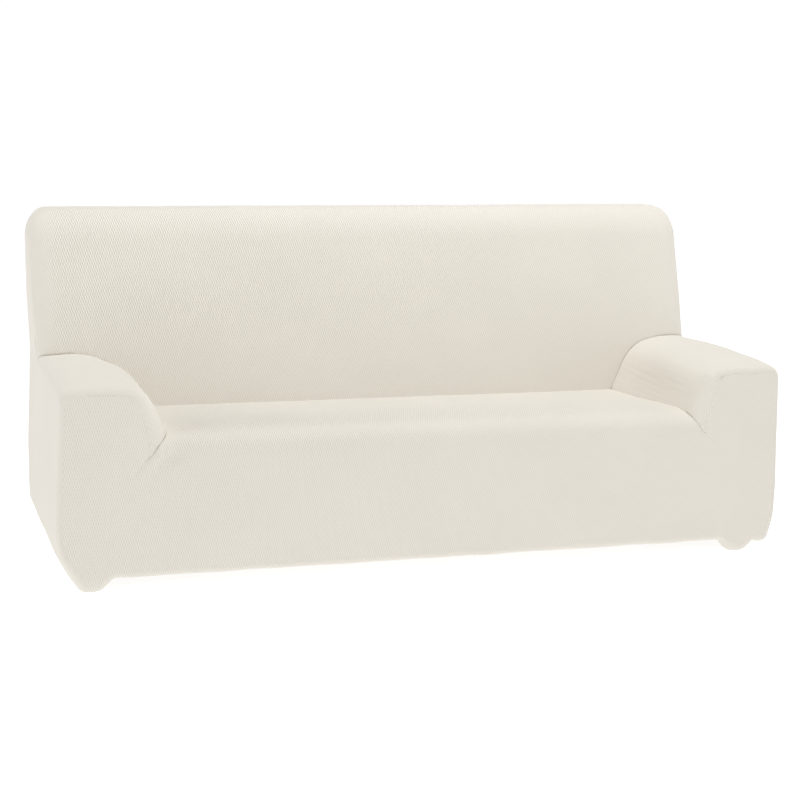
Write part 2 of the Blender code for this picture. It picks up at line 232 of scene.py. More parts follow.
# the form of the arms
arms = {
    "seamZ": 0.527,
    "outer": (                      # share of the way in and up, from the seam to the first row
        (0.00, 0.00), (0.04, 0.33), (0.17, 0.63), (0.45, 0.88),
    ),
    "section": (                    # x and z at the front, in the middle and at the rear
        (1.000, 0.566, 1.000, 0.576, 1.000, 0.559),
        (0.930, 0.568, 0.930, 0.577, 0.945, 0.557),
        (0.862, 0.565, 0.868, 0.570, 0.888, 0.544),
        (0.828, 0.553, 0.832, 0.551, 0.851, 0.524),
        (0.806, 0.519, 0.807, 0.519, 0.820, 0.497),
        (0.787, 0.460, 0.784, 0.459, 0.781, 0.439),
        (0.768, 0.400, 0.764, 0.400, 0.757, 0.395),
        (0.762, 0.350, 0.758, 0.350, 0.752, 0.350),
    ),
    "crestEnd": 2,                  # row where the crest ends and the inner side begins
    "curveSteps": 8,
    "front": (0.00, 0.14),          # depths between which the front section turns to the middle
    "rear": (0.28, 0.62),           # and the middle one to the rear
    "edge": (                       # place on the section, radius of its edge to the front face
        (0.00, 0.014), (0.25, 0.016), (0.50, 0.020), (0.75, 0.0205), (0.90, 0.022),
        (1.00, 0.025), (1.15, 0.032), (1.30, 0.039), (1.45, 0.045), (1.60, 0.048),
    ),
    "edgeReach": 3,                 # stops to either side that give the edge its direction
    "edgeSquare": (0.25, 0.45),     # places between which that turns from down to square inward
    "edgeLevel": (1.286, 2.0),      # and those between which it turns on to level
    "shoulder": 0.25,               # place where the outer shoulder ends and the crest begins
    "shift": {-1: -0.012, 1: 0.006},
    "shiftZ": (0.46, 0.56),
    "sag": {-1: 0.009, 1: 0.0},     # of the crest, towards its outer rear end
    "sagX": (0.88, 1.0),
    "nip": {-1: 0.020, 1: 0.0},     # outward slant of the inner side's foot, close to the front
    "nipY": (0.0, 0.08),
    "nipZ": (0.37, 0.43),
    "crestSteps": 40,
    "innerSteps": 40,
    "edgeSteps": 10,
    "lengthSteps": 60,
    "tuckRadii": 3,                 # the inner side's foot is tucked in fully this many radii back
    "creaseGap": 0.0015,            # the crease in front of the back stands open by this much
    "creaseX": (0.97, 1.03),
    "crestDip": 0.7,                # along the top of an arm's front
    "crestDipX": (0.97, 1.0),
    "crestDipZ": (0.50, 0.54),
    "outerX": 1.03,                 # the outer seam lies beyond this
    "frontY": 0.06,                 # and the seams to the arm's front before this
    "weave": (0.22, 0.12),          # relief of the knit on the inner side and on the crest
    "weaveZ": (0.50, 0.56),
    "lines": 0.0008,                # the inner side is stretched into fine level lines
    "lineY": (0.05, 0.15),
    "lineZ": (0.50, 0.55),
    "lineCounts": (4.0, 150.0),     # to the metre, along y and up
    "lineStart": 9.0,
    "rays": 0.0006,                 # and creases spread from its upper front corner
    "rayCount": 13.0,
    "rayStart": (0.80, 0.555),      # x and z
    "rayMiddle": (0.83, 0.55),
    "rayNear": (0.0, 0.03),         # distances between which they begin
    "rayFar": (0.03, 0.07),         # and end
    "rayNearY": (0.0, 0.012),
    "rayFarY": (0.02, 0.06),
}
crestStops = stops(arms["crestSteps"], first=True, last=True)
innerStops = stops(arms["innerSteps"], first=True, last=True)
sectionStops = joined(crestStops, innerStops)
crest = len(crestStops) - 1
shoulderStop = crestStops.index(arms["shoulder"])
edgeRadius = arms["edge"][-1][1]


def armSection(side, y, lowest):    # x and z at each of the section's stops, cut off at a height
    middle = smooth(*arms["front"], y)
    rear = smooth(*arms["rear"], y)
    points = []
    for x0, z0, x1, z1, x2, z2 in arms["section"]:
        x = mix(mix(x0, x1, middle), x2, rear)
        z = mix(mix(z0, z1, middle), z2, rear) - arms["sag"][side] * rear * smooth(*arms["sagX"], x)
        nip = arms["nip"][side] * fall(*arms["nipZ"], z) * fall(*arms["nipY"], y)
        points.append((x + nip + arms["shift"][side] * fall(*arms["shiftZ"], z), z))
    seam = (halfWidth(arms["seamZ"]), arms["seamZ"] + cover["gap"])
    outer = [(mix(seam[0], points[0][0], a), mix(seam[1], points[0][1], b))
             for a, b in arms["outer"]]
    curve = spline(outer + points, arms["curveSteps"])
    turn = arms["curveSteps"] * (len(arms["outer"]) + arms["crestEnd"])
    inner = curve[turn:]
    while inner[-2][1] < lowest:
        inner.pop()
    inner[-1] = mixPoints(inner[-2], inner[-1],
                          (inner[-2][1] - lowest) / (inner[-2][1] - inner[-1][1]))
    return along(curve[:turn + 1], crestStops) + along(inner, innerStops)[1:]


def armEdge(section, n, angle, extra=0.0):
    # place on the rounded edge of an arm's front, from 0 in the front face to 90 degrees
    stretch, share = sectionStops[n]
    place = stretch + share
    x, z = section[n]
    before = section[max(0, n - arms["edgeReach"])]
    after = section[min(len(section) - 1, n + arms["edgeReach"])]
    size = math.dist(before, after)
    radius = table(arms["edge"], place)
    turned = (radius + extra) * (1.0 - math.sin(angle))
    inward = ((before[1] - after[1]) / size, (after[0] - before[0]) / size)
    inward = mixPoints((0.0, -1.0), inward, smooth(*arms["edgeSquare"], place))
    inward = mixPoints(inward, (1.0, 0.0), smooth(*arms["edgeLevel"], place))
    if place < arms["shoulder"]:
        # there the front's own corner is a smaller copy of the outer one
        crestX, crestZ = section[shoulderStop]
        across = (section[0][0] - x) / (section[0][0] - crestX)
        rise = (z - section[0][1]) / (crestZ - section[0][1])
        sizes = [size for spot, size in arms["edge"][:2]]
        inward = (-sizes[0] / radius * (1.0 - across), -sizes[1] / radius * rise)
    return (x + inward[0] * turned, radius * (1.0 - math.cos(angle)), z + inward[1] * turned)


def ripple(co):                     # slight unevenness of the padding below, the same for all
    return sum(height * noise.noise(co * count) for height, count in cover["ripple"])


def makePanel(name, columns, rows, place, lay, dips, weave, keep=None, turned=False, fold=None):
    # A grid of points. For each column and row, place gives the point, lay gives where it is on
    # the flat cloth and keep says whether the face is there. For each point, dips gives its share
    # of a seam's dip, weave gives the relief of the knit, which also sets how deep the painted shade
    # in its hollows goes, and fold gives the height of any fold.
    # Turned faces look the other way.
    bm = bmesh.new()
    bmesh.ops.create_grid(bm, x_segments=columns, y_segments=rows, size=0.5)
    index = {v: (round((v.co.x + 0.5) * columns), round((v.co.y + 0.5) * rows)) for v in bm.verts}
    if keep:
        cells = {f: (min(index[v][0] for v in f.verts), min(index[v][1] for v in f.verts))
                 for f in bm.faces}
        bmesh.ops.delete(bm, geom=[f for f in bm.faces if not keep(*cells[f])], context="FACES")
    uv = bm.loops.layers.uv.new("cloth")
    for face in bm.faces:
        face.smooth = True
        for loop in face.loops:
            loop[uv].uv = lay(*index[loop.vert])
    for vert in bm.verts:
        vert.co = place(*index[vert])
    bmesh.ops.remove_doubles(bm, verts=bm.verts, dist=cover["weld"])
    if turned:
        bmesh.ops.reverse_faces(bm, faces=bm.faces)
    bm.normal_update()

    relief = bm.verts.layers.float.new("weave")
    lift = {}
    for v in bm.verts:
        v[relief] = weave(v.co)
        lift[v] = ripple(v.co) + (fold(v.co) if fold else 0.0)
    ring = {v for v in bm.verts if v.is_boundary}
    done = set(ring)
    for depth in cover["seamRings"]:
        for v in ring:
            lift[v] -= cover["seamDip"] * depth * dips(v.co)
        ring = {w for v in ring for e in v.link_edges for w in e.verts} - done
        done |= ring
    for v, normal in [(v, v.normal.copy()) for v in bm.verts]:
        v.co += normal * lift[v]
    for edge in bm.edges:
        edge.smooth = not edge.is_boundary
    bmesh.ops.translate(bm, verts=bm.verts, vec=shift)

    mesh = bpy.data.meshes.new(name)
    bm.to_mesh(mesh)
    bm.free()
    panel = addObject(name, mesh)
    thickness = panel.modifiers.new("thickness", "SOLIDIFY")
    thickness.thickness = cover["cloth"]
    thickness.offset = -1.0
    thickness.use_even_offset = True
    return panel


# outer walls: rows that front, sides and rear share
walls = {
    "hemSteps": 3,
    "rollSteps": 6,
    "lowSteps": 24,                 # from the hem to the level of the tucks' tips
    "seamSteps": 14,                # from there to the outer seams of the arms
    "upperSteps": 30,               # from there to the shoulder of the back
}
back = {
    "lean": 0.367,                  # metres to the rear for each metre up
    "faceY": 0.635,
    "leanZ": 0.549,                 # height at which the face is at faceY
    "rollX": 0.060,
    "rollY": 0.045,
    "rollZ": 0.085,
    "rollRear": 0.040,
    "rollSteps": 9,
    "columns": 84,                  # from an end to the middle
    "rows": 44,
    "topRows": 6,
    "creaseTuck": 0.005,            # how far it runs on behind an arm
    "behindX": (0.735, 0.750),      # from behind the seat to behind an arm
    "sewnX": (0.92, 0.97),          # and on to where it no longer runs behind one
    "seatDip": 1.8,                 # into the crease behind the seat
    "creaseDip": 3.6,               # and behind an arm
    "creaseFromX": (0.735, 0.755),
    "creaseToX": (0.94, 0.98),
    "creaseTopZ": 0.70,
    "topDip": 0.5,
    "topDipZ": (0.80, 0.86),        # on the rear
    "endDip": 0.3,
    "endDipZ": (0.60, 0.70),
    "endX": 1.02,
    "weave": (1.05, 0.48),          # relief of the knit at its left end and at its right
    "weaveX": (-1.1, 1.1),
    "weaveFoot": 0.52,              # share of that down by the seat
    "weaveZ": (0.45, 0.70),
    "weaveRear": 0.6,
    "endSmooth": 0.8,               # share that is stretched away round the ends
    "endSmoothX": (0.97, 1.03),
}
seat = {
    "roll": 0.050,
    "middle": (                     # y and z down the middle, behind the rolled front edge
        (0.050, 0.433), (0.120, 0.437), (0.250, 0.431), (0.400, 0.417), (0.580, 0.398),
    ),
    "middleSteps": 8,
    "line": (                       # y and z of the crease between seat and arm
        (0.000, 0.374), (0.004, 0.394), (0.010, 0.404), (0.022, 0.416), (0.036, 0.423),
        (0.060, 0.428), (0.120, 0.431), (0.250, 0.421), (0.400, 0.409), (0.620, 0.396),
    ),
    "flatness": 16,                 # the higher, the closer to an arm the seat begins to turn
    "columns": 66,                  # from an arm to the middle
    "rollRows": 9,
    "rows": 46,
    "ease": 1.12,                   # the cloth is stretched less here, so its cells lie closer
    "tuckEnd": {-1: (0.868, 0.312), 1: (0.874, 0.321)},     # x and z where each tuck dies out
    "tuckWidth": 0.004,
    "tuckSlant": 0.65,              # turns a level distance into one roughly square to the tuck
    "tuckY": (0.012, 0.040),
    "tuckDip": {-1: 1.2, 1: 0.7},
    "tuckDipX": (0.85, 0.90),
    "tuckDipZ": (0.010, 0.030),     # above the line
    "crease": {-1: 0.0022, 1: 0.0012},      # depth of the tuck itself
    "creaseWide": 0.005,
    "creaseFoot": (-0.2, 0.8),      # from the tuck's end, as 0, to its tip, as 1
    "creaseHead": (1.0, 1.3),
    "ridge": {-1: 0.0060, 1: 0.0025},       # the raised fold on the seat's side of the tuck
    "ridgeAway": 0.018,
    "ridgeWide": 0.010,
    "ridgeFoot": (-0.3, 1.2),
    "hollow": {-1: 0.0120, 1: 0.0015},      # and the hollow beyond that
    "hollowAway": 0.042,
    "hollowWide": 0.021,
    "hollowZ": 0.366,
    "hollowHigh": 0.028,
    "dipBelow": 0.001,              # no dip lower than this below the tips
    "faceY": 0.004,                 # the fronts of the arms lie before this
    "faceX": 0.75,                  # and beyond this
    "weave": (0.56, 0.18),          # relief of the knit at its left end and at its right
    "weaveX": (-1.2, 1.1),
    "weaveEndX": (0.72, 0.76),      # as far as here there is more of it on brow and deck
    "brow": 0.5,
    "browZ": (0.37, 0.41),
    "deck": 1.8,
    "deckFromY": (0.03, 0.08),
    "deckToY": (0.10, 0.36),
}
seatLine = seat["line"]
seatMiddle = spline(seat["middle"], seat["middleSteps"])
tipZ = seatLine[0][1]
creaseZ = seatLine[-1][1]           # behind the seat
shoulder = cover["topZ"] - back["rollZ"]


def wallRows():                     # inset and height of each row
    turn, hemZ, roll = hem["turn"], hem["z"], hem["roll"]
    rows = [(mix(turn, roll, share), hemZ + hem["rise"] * (1.0 - share))
            for share in steady(walls["hemSteps"])[:-1]]
    for share in steady(walls["rollSteps"]):
        angle = quarter(share)
        rows.append((roll * (1 - math.sin(angle)), hemZ + roll * (1 - math.cos(angle))))
    rows += [(0.0, mix(hemZ + roll, tipZ, share)) for share in stops(walls["lowSteps"])[1:]]
    low = len(rows) - 1
    rows += [(0.0, mix(tipZ, arms["seamZ"], share))
             for share in stops(walls["seamSteps"], last=True)[1:]]
    seamRow = len(rows) - 1
    rows += [(0.0, mix(arms["seamZ"], shoulder - cover["gap"], share))
             for share in stops(walls["upperSteps"], first=True, last=True)[1:]]
    return rows, low, seamRow


wall, lowRow, seamRow = wallRows()


def leanY(z):
    return back["faceY"] + back["lean"] * (z - back["leanZ"])


def faceY(x, z):                    # front of the back there, with its rolled ends
    into = max(0.0, (abs(x) - halfWidth(z)) / back["rollX"] + 1.0)
    return leanY(z) + back["rollY"] * (1.0 - math.sqrt(max(0.0, 1.0 - into ** 2)))


def seatEdge(side, y):              # crease between seat and arm, as x and z
    z = table(seatLine, y)
    x = armSection(side, y, z)[-1][0] - cover["gap"]
    if y < edgeRadius:
        x += edgeRadius * (1.0 - math.sqrt(1.0 - (1.0 - y / edgeRadius) ** 2))
    return x, z


def tuckDip(co):                    # dip of the cloth beside the slanting tuck
    low = fall(*seat["tuckDipZ"], co.z - table(seatLine, co.y))
    return seat["tuckDip"][sideOf(co.x)] * low * fall(*seat["tuckDipX"], abs(co.x))


def crestDip(co):                   # along the top of an arm's front
    return arms["crestDip"] * smooth(*arms["crestDipZ"], co.z) * fall(*arms["crestDipX"], abs(co.x))


def endDip(co):                     # and down an end of the back
    return back["endDip"] * smooth(*back["endDipZ"], co.z)


def endWeave(co):                   # share of the relief that is left round the ends of the back
    return 1.0 - back["endSmooth"] * smooth(*back["endSmoothX"], abs(co.x))


print("shared forms ready")


# seat, apron and the fronts of both arms, in one cloth
def seatFront():
    across = stops(seat["columns"], first=True)
    half = crest + len(across)                  # the slit is one column wide
    deckRows = stops(seat["rows"], last=True)
    rear = faceY(0.0, creaseZ) - cover["gap"]

    profile = []                                # y and z down the middle of the seat
    for share in steady(seat["rollRows"]):
        angle = quarter(share)
        profile.append((seat["roll"] * (1.0 - math.cos(angle)),
                        mix(tipZ, seatMiddle[0][1], math.sin(angle))))
    for share in deckRows[1:]:
        y = mix(seat["roll"], rear, share)
        profile.append((y, table(seatMiddle, y)))
    edge = {side: [seatEdge(side, y) for y, z in profile] for side in (-1, 1)}
    lengths = runs(profile, tipZ)

    fronts = {}                                 # four edges of each arm's front
    for side in (-1, 1):
        section = armSection(side, 0.0, tipZ)
        seam = [armEdge(section, n, 0.0, cover["gap"])[::2] for n in range(len(section))]
        head = [(x, z - cover["gap"]) for x, z in seam[:crest + 1]]
        right = seam[crest:][::-1]
        right[0] = (right[0][0] + seat["tuckWidth"] / 2, tipZ)
        right[-1] = head[-1]
        rise = [1.0 - share for share in innerStops[::-1]]
        left = [(halfWidth(z) - cover["cornerFront"] - cover["gap"], z)
                for z in (mix(tipZ, head[0][1], share) for share in rise)]
        head[0] = left[-1]
        foot = [mixPoints(left[0], right[0], share) for share in crestStops]
        fronts[side] = (foot, head, left, right, rise)

    def fromEnd(i):                 # side, and the column as counted from its outer corner
        return (-1, i) if i <= half else (1, 2 * half - i)

    def apronX(side, k, inset, z):
        outer = halfWidth(z) - corner(z, cover["cornerFront"], inset) - cover["gap"]
        tip = fronts[side][0][-1][0]
        endX, endZ = seat["tuckEnd"][side]
        split = table(((endZ, endX), (tipZ, tip)), z)
        if k <= crest:
            return mix(outer, split, crestStops[k])
        return (split - seat["tuckWidth"]) * (1.0 - across[k - crest - 1])

    def place(i, j):
        side, k = fromEnd(i)
        if j <= lowRow:
            inset, z = wall[j]
            return settle(side * apronX(side, k, inset, z), inset, z, inset)
        n = j - lowRow
        if k <= crest:
            foot, head, left, right, rise = fronts[side]
            n = min(n, len(rise) - 1)
            u, v = crestStops[k], rise[n]
            blend = mixPoints(foot[k], head[k], v)
            level = mixPoints(left[n], right[n], u)
            flat = mixPoints(mixPoints(foot[0], foot[-1], u), mixPoints(head[0], head[-1], u), v)
            x, z = (a + b - c for a, b, c in zip(blend, level, flat))
            return (side * x, 0.0, z)
        y, middleZ = profile[n]
        edgeX, edgeZ = edge[side][n]
        share = 1.0 - across[k - crest - 1]
        return (side * edgeX * share, y, mix(middleZ, edgeZ, share ** seat["flatness"]))

    def lay(i, j):
        x, y, z = place(i, j)
        side, k = fromEnd(i)
        run = z - y if j <= lowRow else z if k <= crest else lengths[j - lowRow]
        return (x * seat["ease"], run)

    def keep(i, j):
        k = i if i < half else 2 * half - 1 - i
        if k < crest:
            return j < lowRow + len(innerStops) - 1
        return k > crest or j < lowRow

    def dips(co):
        if co.z < tipZ - seat["dipBelow"]:
            return 0.0
        if co.y < seat["faceY"] and abs(co.x) > seat["faceX"]:
            return tuckDip(co) + crestDip(co)
        return 1.0

    def weave(co):
        brow = seat["brow"] * smooth(*seat["browZ"], co.z)
        deck = seat["deck"] * smooth(*seat["deckFromY"], co.y) * fall(*seat["deckToY"], co.y)
        more = (brow + deck) * fall(*seat["weaveEndX"], abs(co.x))
        return mix(*seat["weave"], smooth(*seat["weaveX"], co.x)) * (1.0 + more)

    def fold(co):                   # the slanting tuck, with a raised fold on its seat side
        side = sideOf(co.x)
        (endX, endZ), tipX = seat["tuckEnd"][side], fronts[side][0][-1][0]
        rise = (co.z - endZ) / (tipZ - endZ)
        away = (mix(endX, tipX, min(rise, 1.0)) - abs(co.x)) * seat["tuckSlant"]
        front = fall(*seat["tuckY"], co.y)
        crease = smooth(*seat["creaseFoot"], rise) * fall(*seat["creaseHead"], rise)
        ridge = smooth(*seat["ridgeFoot"], rise) * front
        hollow = bell(co.z - seat["hollowZ"], seat["hollowHigh"]) * front
        return (seat["ridge"][side] * ridge * bell(away - seat["ridgeAway"], seat["ridgeWide"])
                - seat["hollow"][side] * hollow * bell(away - seat["hollowAway"], seat["hollowWide"])
                - seat["crease"][side] * crease * bell(away, seat["creaseWide"]))

    return makePanel("seatFront", 2 * half, lowRow + len(profile) - 1, place, lay, dips, weave,
                     keep, fold=fold)


# inner side, crest and rounded front edge of an arm
def armPanel(name, side):
    stretches = joined(steady(arms["edgeSteps"]), stops(arms["lengthSteps"], last=True))
    sections = []
    for stretch, share in stretches:
        if stretch == 0:
            y = edgeRadius * (1.0 - math.cos(quarter(share)))
        else:
            y = mix(edgeRadius, leanY(creaseZ), share)
        behind = cover["tuck"] * smooth(edgeRadius, arms["tuckRadii"] * edgeRadius, y)
        sections.append(armSection(side, y, table(seatLine, y) + cover["gap"] - behind))

    def place(i, j):
        section = sections[i]
        stretch, share = stretches[i]
        if stretch == 0:
            x, y, z = armEdge(section, j, quarter(share))
        else:
            x, z = section[j]
            part, spot = sectionStops[j]
            gap = cover["gap"] + arms["creaseGap"] * fall(*arms["creaseX"], x)
            y = mix(table(arms["edge"], part + spot), faceY(x, z) - gap, share)
        return (side * x, y, z)

    lengths = []                    # along each section, from its inner top corner
    for i in range(len(stretches)):
        run = runs([place(i, j) for j in range(len(sectionStops))])
        lengths.append([value - run[crest] for value in run])

    def lay(i, j):
        x, y, z = place(i, j)
        stretch, share = stretches[i]
        return (y if stretch else y - edgeRadius * arcMore * (1.0 - share), lengths[i][j])

    def dips(co):
        if abs(co.x) > arms["outerX"]:
            return 0.0
        if co.y < arms["frontY"]:
            return tuckDip(co) + crestDip(co)
        return 1.0

    def weave(co):
        return mix(*arms["weave"], smooth(*arms["weaveZ"], co.z))

    def fold(co):
        x = abs(co.x)
        (startX, startZ), (middleX, middleZ) = arms["rayStart"], arms["rayMiddle"]
        countY, countZ = arms["lineCounts"]
        shown = smooth(*arms["lineY"], co.y) * fall(*arms["lineZ"], co.z)
        lines = noise.noise(Vector((co.y * countY, co.z * countZ, arms["lineStart"] * side)))
        away = math.hypot(x - middleX, co.z - middleZ, co.y)
        angle = math.atan2(co.z - startZ, x - startX)
        rays = math.cos(angle * arms["rayCount"]) * smooth(*arms["rayNear"], away)
        rays *= fall(*arms["rayFar"], away)
        near = smooth(*arms["rayNearY"], co.y) - smooth(*arms["rayFarY"], co.y)
        return arms["lines"] * shown * lines + arms["rays"] * rays * near

    return makePanel(name, len(stretches) - 1, len(sectionStops) - 1, place, lay, dips, weave,
                     turned=side < 0, fold=fold)


# outer side of an arm, with its front corner, and the end of the back above it
sides = {
    "cornerSteps": 12,
    "belowArm": 42,
    "belowBack": 18,
    "weave": 0.12,
}


def sidePanel(name, side):
    columns = joined(steady(sides["cornerSteps"]), stops(sides["belowArm"]),
                     stops(sides["belowBack"], first=True, last=True))
    frontEnd = sides["cornerSteps"] + sides["belowArm"]

    def place(i, j):
        inset, z = wall[j]
        width = halfWidth(z)
        radius = corner(z, cover["cornerFront"], inset)
        stretch, share = columns[i]
        if stretch == 0:            # round the front corner
            angle = quarter(share)
            x = width - radius + (radius - inset) * math.sin(angle)
            return settle(side * x, radius - (radius - inset) * math.cos(angle), z, inset)
        underBack = leanY(max(z, arms["seamZ"])) + back["rollY"] + cover["gap"]
        if stretch == 1:            # below the arm
            y = mix(radius, underBack, share)
        else:                       # below the back
            rear = cover["depth"] - corner(z, back["rollRear"], inset) - cover["gap"]
            y = mix(underBack, rear, share)
        return settle(side * (width - inset), y, z, inset)

    def lay(i, j):
        x, y, z = place(i, j)
        stretch, share = columns[i]
        inset = wall[j][0]
        return (y if stretch else y - cover["cornerFront"] * arcMore * (1.0 - share), z - inset)

    def keep(i, j):
        return j < seamRow or i >= frontEnd

    def weave(co):
        return sides["weave"]

    return makePanel(name, len(columns) - 1, len(wall) - 1, place, lay, endDip, weave, keep,
                     turned=side < 0)


# the two sides of the back
def acrossBack():                   # side, angle of the rolled end, share from there to the middle
    roll = back["rollSteps"]
    ends = [(quarter(1.0 - share), 0.0) for share in steady(roll)]
    flats = [(0.0, share) for share in steady(back["columns"])[1:]]
    half = ends + flats
    half[1:1] = [(quarter(1.0 - stop / roll), 0.0) for stop in cover["seamStops"]]
    return [(-1, a, s) for a, s in half] + [(1, a, s) for a, s in half[-2::-1]]


backColumns = acrossBack()
footSections = {side: armSection(side, leanY(creaseZ), creaseZ) for side in (-1, 1)}


def backFoot(side, x):              # height where the inside of the back meets the seat or an arm
    section = footSections[side]
    if x <= section[-1][0]:
        return creaseZ
    return table(section[::-1], x)


def backAround(i, x):               # distance across the flat cloth, round the rolled end
    side, end, share = backColumns[i]
    return x + side * back["rollX"] * arcMore * math.sin(end) ** 2


def insideBack():
    rows = joined(stops(back["rows"], first=True), steady(back["rollSteps"]),
                  steady(back["topRows"]), stops(back["rollSteps"], last=True))

    def place(i, j):
        side, end, share = backColumns[i]
        cosEnd = math.cos(end)
        stretch, rise = rows[j]

        def out(z):
            return (halfWidth(z) - back["rollX"]) * (1.0 - share) + back["rollX"] * math.sin(end)

        if stretch == 0:            # the leaning front
            x = out(arms["seamZ"])
            behind = mix(cover["tuck"], back["creaseTuck"], smooth(*back["behindX"], x))
            foot = backFoot(side, x) + mix(-behind, cover["gap"], smooth(*back["sewnX"], x))
            z = mix(foot, shoulder, rise)
            y = leanY(z) + back["rollY"] * (1.0 - cosEnd)
        elif stretch == 1:          # the roll at its top
            over = quarter(rise)
            z = shoulder + back["rollZ"] * math.sin(over) * cosEnd
            y = leanY(z) + back["rollY"] * (1.0 - math.cos(over) * cosEnd)
        elif stretch == 2:          # the top
            z = shoulder + back["rollZ"] * cosEnd
            y = mix(leanY(z) + back["rollY"], cover["depth"] - back["rollRear"], rise)
        else:                       # the roll down to the rear
            over = quarter(rise)
            z = shoulder + back["rollZ"] * math.cos(over) * cosEnd
            y = cover["depth"] - back["rollRear"] * (1.0 - math.sin(over) * cosEnd)
        return (side * out(z), y, z)

    middle = len(backColumns) // 2
    lengths = runs([place(middle, j) for j in range(len(rows))])

    def lay(i, j):
        x, y, z = place(i, j)
        run = lengths[j]
        if rows[j][0] == 0:
            run = (z - creaseZ + cover["tuck"]) * math.hypot(1.0, back["lean"])
        return (backAround(i, x), run)

    def dips(co):
        x = abs(co.x)
        if x > back["endX"] and co.z > back["endDipZ"][0]:
            return endDip(co)
        crease = smooth(*back["creaseFromX"], x) * fall(*back["creaseToX"], x)
        if co.z < back["creaseTopZ"]:
            return mix(back["seatDip"], back["creaseDip"], crease)
        return back["topDip"]

    def weave(co):
        level = mix(*back["weave"], smooth(*back["weaveX"], co.x))
        return level * endWeave(co) * mix(back["weaveFoot"], 1.0, smooth(*back["weaveZ"], co.z))

    return makePanel("insideBack", len(backColumns) - 1, len(rows) - 1, place, lay, dips, weave)


def outsideBack():
    def place(i, j):
        side, end, share = backColumns[i]
        inset, z = wall[j]
        radiusX = corner(z, back["rollX"], inset)
        radiusY = corner(z, back["rollRear"], inset)
        x = (halfWidth(z) - radiusX) * (1.0 - share) + (radiusX - inset) * math.sin(end)
        y = cover["depth"] - radiusY + (radiusY - inset) * math.cos(end)
        return settle(side * x, y, z, inset)

    def lay(i, j):
        x, y, z = place(i, j)
        return (backAround(i, x), z - wall[j][0])

    def dips(co):
        return back["topDip"] * smooth(*back["topDipZ"], co.z)

    def weave(co):
        return back["weaveRear"] * endWeave(co)

    return makePanel("outsideBack", len(backColumns) - 1, len(wall) - 1, place, lay, dips, weave,
                     turned=True)


panels = {
    "seat_front": seatFront(),
    "inside_back": insideBack(),
    "outside_back": outsideBack(),
    "arm_left": armPanel("armLeft", -1),
    "arm_right": armPanel("armRight", 1),
    "side_left": sidePanel("sideLeft", -1),
    "side_right": sidePanel("sideRight", 1),
}
print("panels made:", {p.name: len(p.data.polygons) for p in panels.values()})


# the knit
knit = {
    "colour": (0.87, 0.84, 0.775, 1.0),
    "hollow": (0.57, 0.53, 0.455, 1.0),     # painted shade down between the raised cells, standing in for the shade that falls there
    "cellWide": 0.0072,
    "cellHigh": 0.021,
    "slant": 0.64,                  # share of the ribs that lean one way
    "wanderWide": 0.0028,           # how far the cells stray from a perfect grid
    "wanderHigh": 0.0056,
    "wanderScale": 38.0,
    "wanderDetail": 2.0,
    "relief": 0.0010,
    "grain": 0.12,                  # share of the relief that single yarns add
    "grainScale": 900.0,
    "grainDetail": 3.0,
    "tone": 0.06,                   # how much the colour varies over the cloth
    "toneScale": 3.5,
    "toneDetail": 3.0,
    "roughness": 0.88,
    "sheen": 0.12,
    "sheenRoughness": 0.5,
}


